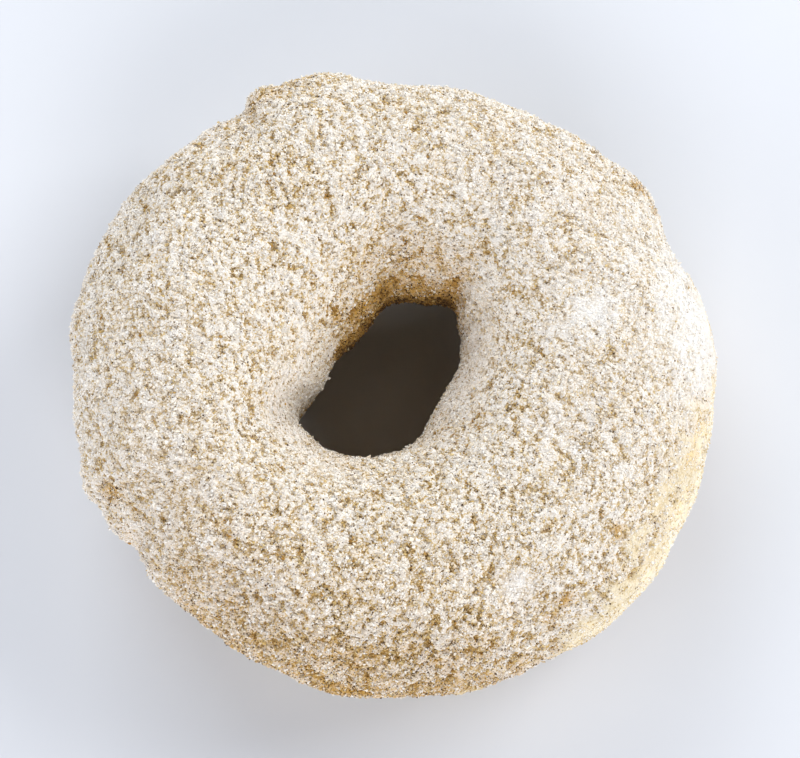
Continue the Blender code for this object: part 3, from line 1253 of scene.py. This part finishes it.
def coat_material():
    """Relief, golden and toasted places, each crumb's own number and the distance from its
    middle pick a colour from pit brown to pale; the dark pits and creases are partly painted
    shade. Over that, powdered places are mixed towards powder or white, the grey on the
    hole's walls being painted half shade, toasted ones towards gold and then deep brown,
    partly painted shade on the near flank and wholly so deep in the hole, and a thin coat
    towards the dough. Crumbs and a fine noise are the bump."""
    material, tree, shader = new_material("crumb_coat")
    away, own = crumb_node(tree, CRUMB_SIZE)
    in_toasted_and_shade = attribute_node(tree, "toasted_and_shaded")
    relief = attribute_node(tree, "relief")
    level = math_node(tree, "MULTIPLY_ADD", relief, RELIEF_GAIN, LEVEL_AT_REST)
    level = math_node(tree, "MULTIPLY_ADD", attribute_node(tree, "patches"), PATCH_GAIN, level)
    level = math_node(tree, "MULTIPLY_ADD", in_toasted_and_shade, TOASTED_AND_SHADE_GAIN, level)
    level = centred(tree, own, OWN_GAIN, level)
    level = centred(tree, away, AWAY_GAIN, level)
    level = centred(tree, noise_node(tree, FINE_SIZE, 1.0), FINE_GAIN, level)
    colour = ramp_node(tree, level, CRUST_STOPS)
    white = math_node(tree, "MULTIPLY", attribute_node(tree, "tone"), WHITE_GAIN)
    powder = mix_node(tree, white, POWDER, SUGAR_WHITE)
    in_powder = math_node(tree, "MULTIPLY", attribute_node(tree, "powdered"), POWDER_SHARE)
    colour = mix_node(tree, in_powder, colour, powder)
    browned = math_node(tree, "MINIMUM", in_toasted_and_shade, 1.0)
    browned = math_node(tree, "MULTIPLY", browned, BROWNED_SHARE)
    colour = mix_node(tree, browned, colour, TOASTED_AND_SHADE_COLOUR)
    colour = mix_node(tree, math_node(tree, "SUBTRACT", in_toasted_and_shade, 1.0), colour, HOLE_SHADE_BROWN)
    thin = math_node(tree, "MULTIPLY", attribute_node(tree, "thin"), THIN_SHARE)
    colour = mix_node(tree, thin, colour, DOUGH_YELLOW)
    height = math_node(tree, "SUBTRACT", 1.0, away)
    height = centred(tree, noise_node(tree, GRIT_SIZE, 1.0), GRIT_GAIN, height)
    tree.links.new(bump_node(tree, height, GRIT_DEPTH), shader.inputs["Normal"])
    tree.links.new(colour, shader.inputs["Base Color"])
    shader.inputs["Roughness"].default_value = CRUST_ROUGHNESS
    shader.inputs["Specular IOR Level"].default_value = CRUST_SHEEN
    return material


crust_finish = coat_material()
for band in (outer_coat, inner_coat):
    band.data.materials.append(crust_finish)
print("crust finish of", len(crust_finish.node_tree.nodes), "nodes")

# %% [markdown]
# ## The grains' finishes
#
# A single grain is one colour, but no two are alike. A random colour from the object would
# paint a whole kind alike, since each kind is one mesh. The tone that was stored on each
# grain picks its colour from a ramp of its kind instead, and sugar is a little shinier.

# %% The grains' colours and materials
# Colours at the darkest tone, at the middle one and at the lightest
GRAIN_RAMPS = {
    "sugar_grains": ((0.49, 0.375, 0.22), (0.80, 0.735, 0.64), (0.86, 0.84, 0.815)),
    "powder_grains": ((0.45, 0.345, 0.21), (0.78, 0.71, 0.62), (0.85, 0.825, 0.80)),
    "pale_crumbs": ((0.46, 0.335, 0.17), (0.77, 0.685, 0.56), (0.85, 0.81, 0.75)),
    "golden_crumbs": ((0.39, 0.21, 0.045), (0.615, 0.445, 0.18), (0.77, 0.67, 0.46)),
    # Dark specks, partly painted shade in the gaps between grains
    "specks_and_gap_shade": ((0.055, 0.024, 0.009), (0.175, 0.10, 0.04), (0.44, 0.335, 0.20)),
    "dough_dust": ((0.55, 0.38, 0.15), (0.78, 0.67, 0.46), (0.87, 0.83, 0.74)),
}
RAMP_STOPS = (0.0, 0.38, 1.0)
SUGAR_ROUGHNESS = 0.65
CRUMB_ROUGHNESS = 0.9


def grain_material(kind, roughness):
    """A grain's own tone picks its colour from the ramp of its kind."""
    material, tree, shader = new_material(kind + "_finish")
    stops = tuple(zip(RAMP_STOPS, GRAIN_RAMPS[kind]))
    colour = ramp_node(tree, attribute_node(tree, "tone"), stops)
    tree.links.new(colour, shader.inputs["Base Color"])
    shader.inputs["Roughness"].default_value = roughness
    return material


for kind, piece in grains.items():
    roughness = SUGAR_ROUGHNESS if kind == "sugar_grains" else CRUMB_ROUGHNESS
    piece.data.materials.append(grain_material(kind, roughness))
print("grain finishes:", len(grains))

# %% [markdown]
# ## The dough's finish
#
# Fried dough is brown on its flat sides and pale round the waist, never evenly so, and here
# a film of powder lies on it. The browning that is stored on the mesh, pushed about by a
# broad noise, gives the bake; its darkest brown is also painted shade down the hole.
# Mottling, the golden rim beside the coat and fine white dust are mixed over it in that
# order, as they came about.

# %% The dough's colours
# Fried brown, made darker as painted shade so that the bottom of the hole stays dark
FRIED_BROWN_AND_HOLE_SHADE = (0.17, 0.072, 0.024)
CRUST_GOLD = (0.56, 0.33, 0.12)
WAIST_PALE = (0.78, 0.72, 0.60)
BAKE_STOPS = ((0.05, WAIST_PALE), (0.5, CRUST_GOLD), (1.0, FRIED_BROWN_AND_HOLE_SHADE))
DOUGH_GOLD = (0.76, 0.57, 0.25)
RIM_GOLD = (0.82, 0.65, 0.35)  # on the dough beside the coat
DUST_WHITE = (0.87, 0.83, 0.75)
print("dough from", WAIST_PALE, "to", FRIED_BROWN_AND_HOLE_SHADE)

# %% The dough's material
BAKE_SIZE = 6 * MM  # of the noise that pushes the browning about
BAKE_GAIN = 0.36
MOTTLE_SIZE = 1.6 * MM
MOTTLE_GAIN = 3.0
MOTTLE_BASE = 0.38
# Toasted places include painted shade on the near flank, which reaches the bare dough below the
# coat too.
TOASTED_AND_SHADE_GOLD = 0.5  # how much a toasted place adds to the gold
GOLD_SHARE = 0.6
RIM_SHARE = 1.2
DUST_SIZE = 0.28 * MM
DUST_GAIN = 3.0
DUST_SHARE = 0.5
DOUGH_BUMP = 0.15 * MM
DOUGH_ROUGHNESS = 0.7
DOUGH_SHEEN = 0.3


def dough_material():
    """The browning plus a noise picks pale, gold or fried brown from a ramp; the brown is
    darkened as painted shade down the hole. Then come the mottling with the toasted places,
    which are partly painted shade, both towards gold, the golden rim along the coat, and
    dust, each mixed in by its share."""
    material, tree, shader = new_material("fried_dough")
    wander = noise_node(tree, BAKE_SIZE, 3.0)
    level = centred(tree, wander, BAKE_GAIN, attribute_node(tree, "browning"))
    base = ramp_node(tree, level, BAKE_STOPS)
    mottle = noise_node(tree, MOTTLE_SIZE, 3.0)
    gold = clamp_node(tree, centred(tree, mottle, MOTTLE_GAIN, MOTTLE_BASE))
    in_toasted_and_shade = attribute_node(tree, "toasted_and_shaded")
    gold = math_node(tree, "MULTIPLY_ADD", in_toasted_and_shade, TOASTED_AND_SHADE_GOLD, gold)
    base = mix_node(tree, math_node(tree, "MULTIPLY", gold, GOLD_SHARE), base, DOUGH_GOLD)
    near_coat = math_node(tree, "MULTIPLY", attribute_node(tree, "near_coat"), RIM_SHARE)
    base = mix_node(tree, near_coat, base, RIM_GOLD)
    speck = noise_node(tree, DUST_SIZE, 1.0, 0.5)
    dust = clamp_node(tree, centred(tree, speck, DUST_GAIN, 0.0))
    colour = mix_node(tree, math_node(tree, "MULTIPLY", dust, DUST_SHARE), base, DUST_WHITE)
    tree.links.new(colour, shader.inputs["Base Color"])
    shader.inputs["Roughness"].default_value = DOUGH_ROUGHNESS
    shader.inputs["Specular IOR Level"].default_value = DOUGH_SHEEN
    tree.links.new(bump_node(tree, mottle, DOUGH_BUMP), shader.inputs["Normal"])
    return material


dough_finish = dough_material()
dough.data.materials.append(dough_finish)
print("dough finish of", len(dough_finish.node_tree.nodes), "nodes")

# %% [markdown]
# ## Floor, light and camera
#
# The doughnut lies on a plain pale floor, which only catches its shadow. A paper sheet
# would look nearer to a bakery counter, but it isn't part of the doughnut.

# %% The floor
FLOOR_SIZE = 4.0
FLOOR_DROP = 0.05 * MM  # so that the floor and the flat underside don't fight
FLOOR_COLOUR = (0.665, 0.69, 0.745, 1.0)
FLOOR_CORNERS = np.array([[-1, -1, 0], [1, -1, 0], [1, 1, 0], [-1, 1, 0]])
floor_height = np.array([0, 0, cad_low.z - FLOOR_DROP])
floor_points = FLOOR_CORNERS * FLOOR_SIZE / 2 + floor_height
floor_mesh = bpy.data.meshes.new("floor")
floor_mesh.from_pydata(floor_points.tolist(), [], [(0, 1, 2, 3)])
floor = bpy.data.objects.new("floor", floor_mesh)
bpy.context.scene.collection.objects.link(floor)
floor_material, _, floor_shader = new_material("pale_floor")
floor_shader.inputs["Roughness"].default_value = 0.9
floor_shader.inputs["Base Color"].default_value = FLOOR_COLOUR
floor_mesh.materials.append(floor_material)
print("floor at mm:", round(floor_height[2] / MM, 2))

# %% [markdown]
# A dry white coat is all about soft light: hard light would turn every pit black, and light
# from all sides would leave no pits at all. Four wide lamps stand round the doughnut, the
# one at its left much weaker, so that each clump has a lit and a shaded side. They stand
# low enough that little light falls straight down the hole.

# %% The lamps
LAMP_DISTANCE = 2.0
LAMP_SIZE = 1.25
# bearing, elevation, watts, colour
LAMPS = (
    (28, 30, 30.5, (0.995, 1.0, 0.98)),
    (110, 31, 22.5, (0.985, 1.0, 0.985)),
    (200, 30, 9.0, (0.95, 0.96, 1.0)),
    (278, 30, 24.5, (1.0, 0.985, 0.97)),
)
centre = (cad_low + cad_high) / 2


def polar(bearing, elevation, distance):
    """A point at a bearing and elevation in degrees, seen from the middle of the ring."""
    bearing, elevation = math.radians(bearing), math.radians(elevation)
    flat = math.cos(elevation)
    way = Vector((flat * math.cos(bearing), flat * math.sin(bearing), math.sin(elevation)))
    return centre + way * distance


for number, (bearing, elevation, watts, colour) in enumerate(LAMPS):
    lamp = bpy.data.lights.new(f"lamp_{number}", "AREA")
    lamp.shape = "SQUARE"
    lamp.size = LAMP_SIZE
    lamp.energy = watts
    lamp.color = colour
    holder = bpy.data.objects.new(lamp.name, lamp)
    holder.location = polar(bearing, elevation, LAMP_DISTANCE)
    holder.rotation_euler = (centre - holder.location).to_track_quat("-Z", "Y").to_euler()
    bpy.context.scene.collection.objects.link(holder)

print("lamps:", len(LAMPS), "of", sum(watts for _, _, watts, _ in LAMPS), "watts in all")

# %% [markdown]
# The room fills the shadows from its pale walls, and its ceiling is dark, because a bright
# one would light the bottom of the hole from straight above.

# %% The room
ROOM_COLOUR = (0.80, 0.84, 0.92)
CEILING_COLOUR = (0.014, 0.007, 0.003)
# Height of the view's direction, from level to straight up, at which each colour stands
ROOM_STOPS = ((0.0, ROOM_COLOUR), (0.48, ROOM_COLOUR), (0.78, CEILING_COLOUR))
ROOM_STRENGTH = 1.12

world = bpy.data.worlds.new("soft_room")
world.use_nodes = True
sky = world.node_tree
heading = sky.nodes.new("ShaderNodeTexCoord")
parts = sky.nodes.new("ShaderNodeSeparateXYZ")
sky.links.new(heading.outputs["Generated"], parts.inputs["Vector"])
dimming = ramp_node(sky, parts.outputs["Z"], ROOM_STOPS)
sky.links.new(dimming, sky.nodes["Background"].inputs["Color"])
sky.nodes["Background"].inputs["Strength"].default_value = ROOM_STRENGTH
bpy.context.scene.world = world
bpy.context.scene.view_settings.view_transform = "Standard"
print("room of", len(sky.nodes), "nodes")

# %% [markdown]
# The camera looks down from high up at the front through a long lens, which keeps the ring
# from bulging. Straight from above the flanks would be lost, and from lower down the hole.

# %% The camera
ELEVATION = 76  # degrees above the floor
DISTANCE = 378 * MM
LENS = 115.65
SENSOR = 36
AIM = Vector((0.96 * MM, 0.6 * MM, -0.94 * MM))  # from the middle of the model's box

camera = bpy.data.objects.new("camera", bpy.data.cameras.new("camera"))
camera.data.lens = LENS
camera.data.sensor_width = SENSOR
target = centre + AIM
tilt = math.radians(ELEVATION)
camera.location = target + Vector((0, -math.cos(tilt), math.sin(tilt))) * DISTANCE
camera.rotation_euler = (target - camera.location).to_track_quat("-Z", "Y").to_euler()
bpy.context.scene.collection.objects.link(camera)
bpy.context.scene.camera = camera
print("camera at mm:", [round(side / MM) for side in camera.location])
